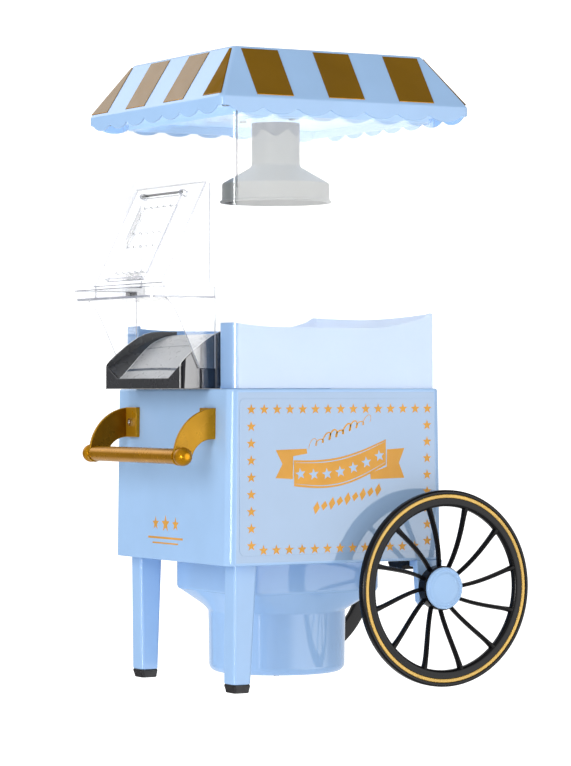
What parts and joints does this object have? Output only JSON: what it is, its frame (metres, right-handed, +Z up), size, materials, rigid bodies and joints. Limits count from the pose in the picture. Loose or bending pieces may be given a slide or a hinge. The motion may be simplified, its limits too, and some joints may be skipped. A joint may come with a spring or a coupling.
{
  "type": "hot-air popcorn maker",
  "caption": "Table-top hot-air popcorn maker shaped as a market cart: blue body on legs and spoked wheels, clear cabinet with chute and flap, striped scalloped roof that lifts off.",
  "frame": {"origin": "on the floor, below the middle of the whole outline", "axes": "+Z up, +X along the axle towards the right wheel seen from the back, -Y the front with the chute and handle"},
  "size_m": [0.223, 0.2846, 0.455],
  "materials": {
    "body_plastic": "light blue glossy moulding",
    "decal": "pale printed film, satin",
    "wheel_plastic": "black glossy moulding",
    "gold_plastic": "antique gold lacquer",
    "clear_plastic": "clear moulding",
    "chrome": "bright plated",
    "grey_plastic": "metallic grey moulding",
    "collar_plastic": "satin off-white",
    "rubber": "matt black",
    "black_plastic": "satin black",
    "red_plastic": "glossy red",
    "steel": "bright steel",
    "aluminium": "spun, bright",
    "heat_plastic": "brown heat-resistant moulding",
    "mica": "mica sheet",
    "fuse_case": "satin",
    "board": "green laminate"
  },
  "bodies": {
    "base": {"body_front": "body_plastic", "body_back": "body_plastic", "body_sides": "body_plastic", "deck_plate": "body_plastic", "base_plate": "body_plastic", "base_housing": "body_plastic", "inlet_grille": "black_plastic", "decal_left": "decal", "decal_right": "decal", "leg_left": "body_plastic", "leg_right": "body_plastic", "foot_left": "rubber", "foot_right": "rubber", "axle_bracket_left": "body_plastic", "axle_bracket_right": "body_plastic", "wheel_stay_left": "black_plastic", "wheel_stay_right": "black_plastic", "axle": "steel", "axle_clips": "steel", "handle_bracket_left": "gold_plastic", "handle_bracket_right": "gold_plastic", "handle_bar": "gold_plastic", "handle_screws": "steel", "liner_tub": "body_plastic", "popping_chamber": "aluminium", "chamber_collar": "collar_plastic", "heater_housing": "heat_plastic", "heater_former": "mica", "heater_coil": "steel", "thermostat": "black_plastic", "thermal_fuse": "fuse_case", "motor": "steel", "motor_mount": "collar_plastic", "motor_screws": "steel", "diode_board": "board", "switch_housing": "black_plastic", "cord_gland": "black_plastic", "base_screws": "steel", "leg_screws": "steel", "grille_screws": "steel", "chute": "chrome"},
    "wheel_left": {"wheel_left": "wheel_plastic", "hub_cap_left": "body_plastic"},
    "wheel_right": {"wheel_right": "wheel_plastic", "hub_cap_right": "body_plastic"},
    "fan": {"motor_shaft": "steel", "fan_impeller": "black_plastic"},
    "rocker": {"switch_rocker": "red_plastic"},
    "cabinet": {"cabinet": "clear_plastic", "door_shelf": "clear_plastic", "door_panel": "clear_plastic", "flap_pin": "clear_plastic"},
    "flap": {"flap": "clear_plastic"},
    "roof": {"roof": "body_plastic", "roof_plate": "collar_plastic", "roof_screws": "steel", "hood": "grey_plastic", "hood_screws": "steel"}
  },
  "joints": [
    {"name": "wheel_left_spin", "type": "hinge", "parent": "base", "child": "wheel_left", "pos_m": [0, 0.0717, 0.0706], "axis": [1, 0, 0], "continuous": true},
    {"name": "wheel_right_spin", "type": "hinge", "parent": "base", "child": "wheel_right", "pos_m": [0, 0.0717, 0.0706], "axis": [1, 0, 0], "continuous": true},
    {"name": "fan_spin", "type": "hinge", "parent": "base", "child": "fan", "pos_m": [0, -0.0055, 0.05], "axis": [0, 0, 1], "continuous": true},
    {"name": "switch_rock", "type": "hinge", "parent": "base", "child": "rocker", "pos_m": [0.045, 0.08003, 0.15], "axis": [1, 0, 0], "range_deg": [0, 18]},
    {"name": "cabinet_lift", "type": "slide", "parent": "base", "child": "cabinet", "axis": [0, 0, 1], "range_m": [0, 0.06]},
    {"name": "flap_open", "type": "hinge", "parent": "cabinet", "child": "flap", "pos_m": [0, -0.09954, 0.35444], "axis": [-1, 0, 0], "range_deg": [0, 80]},
    {"name": "roof_lift", "type": "slide", "parent": "cabinet", "child": "roof", "axis": [0, 0, 1], "range_m": [0, 0.08]}
  ]
}
